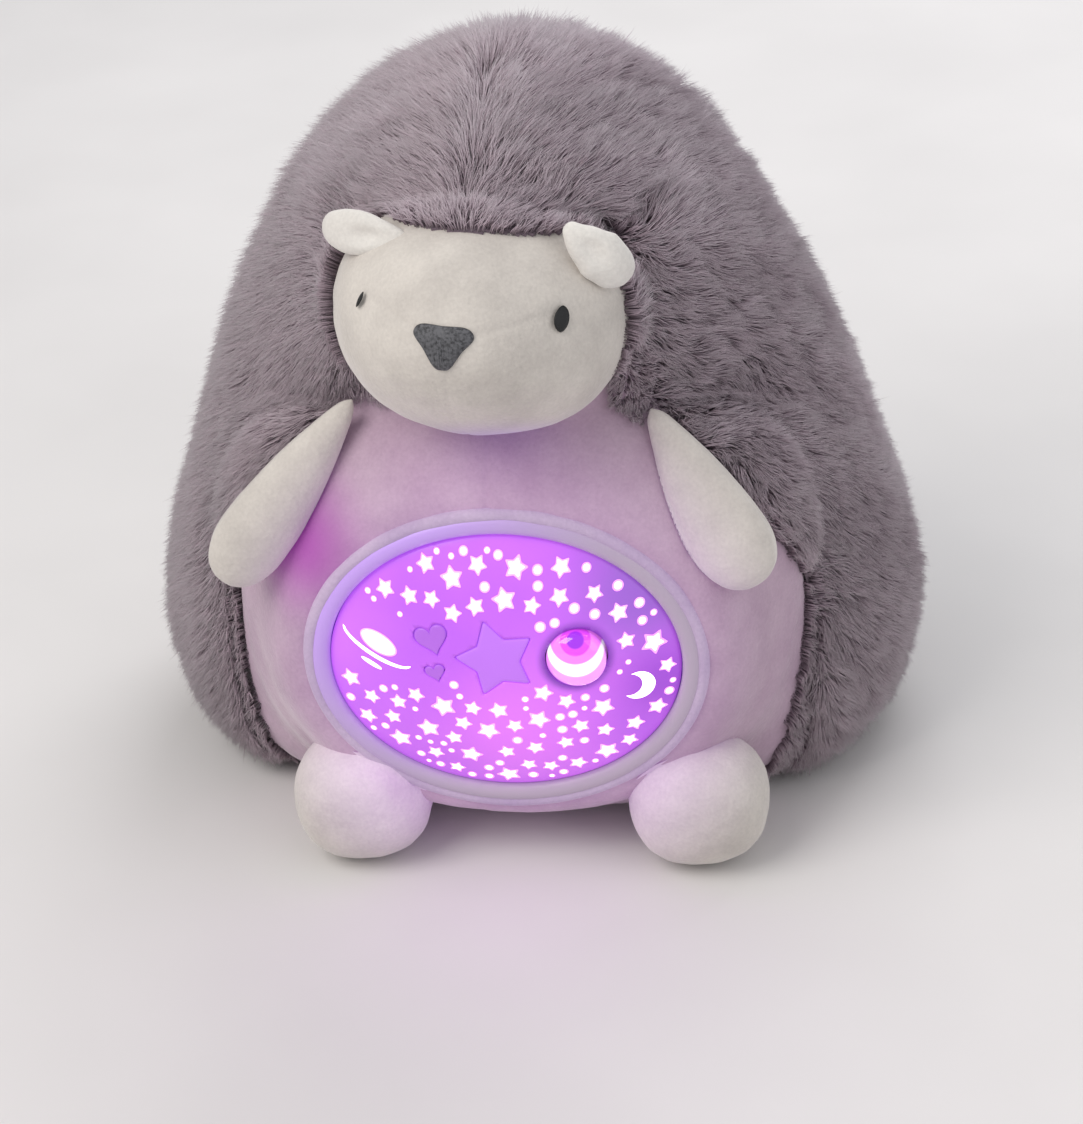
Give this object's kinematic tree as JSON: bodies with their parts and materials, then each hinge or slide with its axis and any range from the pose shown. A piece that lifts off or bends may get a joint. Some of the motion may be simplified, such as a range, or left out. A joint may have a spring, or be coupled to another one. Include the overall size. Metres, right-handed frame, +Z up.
{
  "type": "plush projector night light",
  "caption": "Sitting plush hedgehog in a long-pile coat, with a lit oval belly dome, push buttons, a projection lens and a battery box behind a back flap.",
  "frame": {"origin": "middle of the bounding box on the surface the toy sits on", "axes": "+Z up, the face and the lit belly look along -Y, +X is on the right as the toy is seen from its front"},
  "size_m": [0.2642, 0.2382, 0.25],
  "materials": {
    "fur": "long ruffled mauve-grey pile",
    "cream_plush": "short soft cream plush",
    "belly_plush": "short soft pale pink-lilac plush",
    "stuffing": "white polyester fibre fill",
    "lining": "plain woven lining",
    "closure": "hook-and-loop tape",
    "thread_grey": "dense satin-stitched thread",
    "thread_black": "dense satin-stitched thread",
    "lit_dome": "frosted translucent, lit from within",
    "light_mask": "tinted, with cut windows",
    "button_lilac": "smooth moulded",
    "bezel_lilac": "smooth moulded, translucent white",
    "clear_plastic": "polished clear lens",
    "white_plastic": "moulded, fine texture",
    "black_plastic": "moulded",
    "board_green": "solder-masked laminate",
    "led_white": "clear epoxy over phosphor",
    "steel": "plated",
    "magnet": "sintered, zinc plated",
    "cone_paper": "pressed paper",
    "cell_jacket": "printed film over steel can",
    "lead_red": "insulated wire",
    "lead_black": "insulated wire"
  },
  "bodies": {
    "toy": {"fur_coat": "fur", "stuffing": "stuffing", "belly_panel": "belly_plush", "belly_hem": "belly_plush", "base_panel": "lining", "access_sleeve": "lining", "head": "cream_plush", "ear_left": "cream_plush", "ear_right": "cream_plush", "foot_left": "cream_plush", "foot_right": "cream_plush", "nose": "thread_grey", "eye_left": "thread_black", "eye_right": "thread_black", "hook_strip": "closure", "bezel_ring": "bezel_lilac", "dome_cover": "lit_dome", "light_mask": "light_mask", "star_switch": "steel", "heart_switch": "steel", "heart_small_switch": "steel", "projection_lens": "clear_plastic", "lens_barrel": "black_plastic", "projector_slide": "black_plastic", "projector_led": "led_white", "front_housing": "white_plastic", "rear_housing": "white_plastic", "housing_screw_1": "steel", "housing_screw_2": "steel", "housing_screw_3": "steel", "housing_screw_4": "steel", "main_board": "board_green", "led_1": "led_white", "led_2": "led_white", "led_3": "led_white", "controller_chip": "black_plastic", "battery_1": "cell_jacket", "battery_2": "cell_jacket", "battery_3": "cell_jacket", "contact_minus": "steel", "contact_link_1": "steel", "contact_link_2": "steel", "contact_plus": "steel", "speaker_frame": "steel", "speaker_cone": "cone_paper", "speaker_magnet": "magnet", "battery_lead": "lead_red", "speaker_lead": "lead_black"},
    "star": {"star_button": "button_lilac", "star_plunger": "black_plastic"},
    "heart": {"heart_button": "button_lilac", "heart_plunger": "black_plastic"},
    "heart_small": {"heart_small_button": "button_lilac", "heart_small_plunger": "black_plastic"},
    "arm_l": {"arm_left": "cream_plush"},
    "arm_r": {"arm_right": "cream_plush"},
    "flap": {"back_flap": "fur", "loop_strip": "closure"},
    "door": {"battery_door": "white_plastic"},
    "screw": {"door_screw": "steel"}
  },
  "joints": [
    {"name": "star_press", "type": "slide", "parent": "toy", "child": "star", "axis": [0, 1, 0], "range_m": [0, 0.0012], "stiffness_N_per_m": 1200, "springref_m": -0.0004},
    {"name": "heart_press", "type": "slide", "parent": "toy", "child": "heart", "axis": [0, 1, 0], "range_m": [0, 0.0012], "stiffness_N_per_m": 1200, "springref_m": -0.0004},
    {"name": "heart_small_press", "type": "slide", "parent": "toy", "child": "heart_small", "axis": [0, 1, 0], "range_m": [0, 0.0012], "stiffness_N_per_m": 1200, "springref_m": -0.0004},
    {"name": "arm_left_lift", "type": "hinge", "parent": "toy", "child": "arm_l", "pos_m": [-0.046, -0.07056, 0.154], "axis": [-0.7991, 0, 0.6012], "range_deg": [0, 60]},
    {"name": "arm_right_lift", "type": "hinge", "parent": "toy", "child": "arm_r", "pos_m": [0.046, -0.07056, 0.154], "axis": [-0.8443, 0, -0.5358], "range_deg": [0, 60]},
    {"name": "flap_open", "type": "hinge", "parent": "toy", "child": "flap", "pos_m": [0, 0.1052, 0.1076], "axis": [1, 0, 0], "range_deg": [0, 100]},
    {"name": "battery_door_open", "type": "hinge", "parent": "toy", "child": "door", "pos_m": [0, -0.02743, 0.0405], "axis": [-1, 0, 0], "range_deg": [0, 85]},
    {"name": "door_screw_turn", "type": "hinge", "parent": "door", "child": "screw", "pos_m": [0, -0.025, 0.094], "axis": [0, 1, 0], "continuous": true}
  ]
}
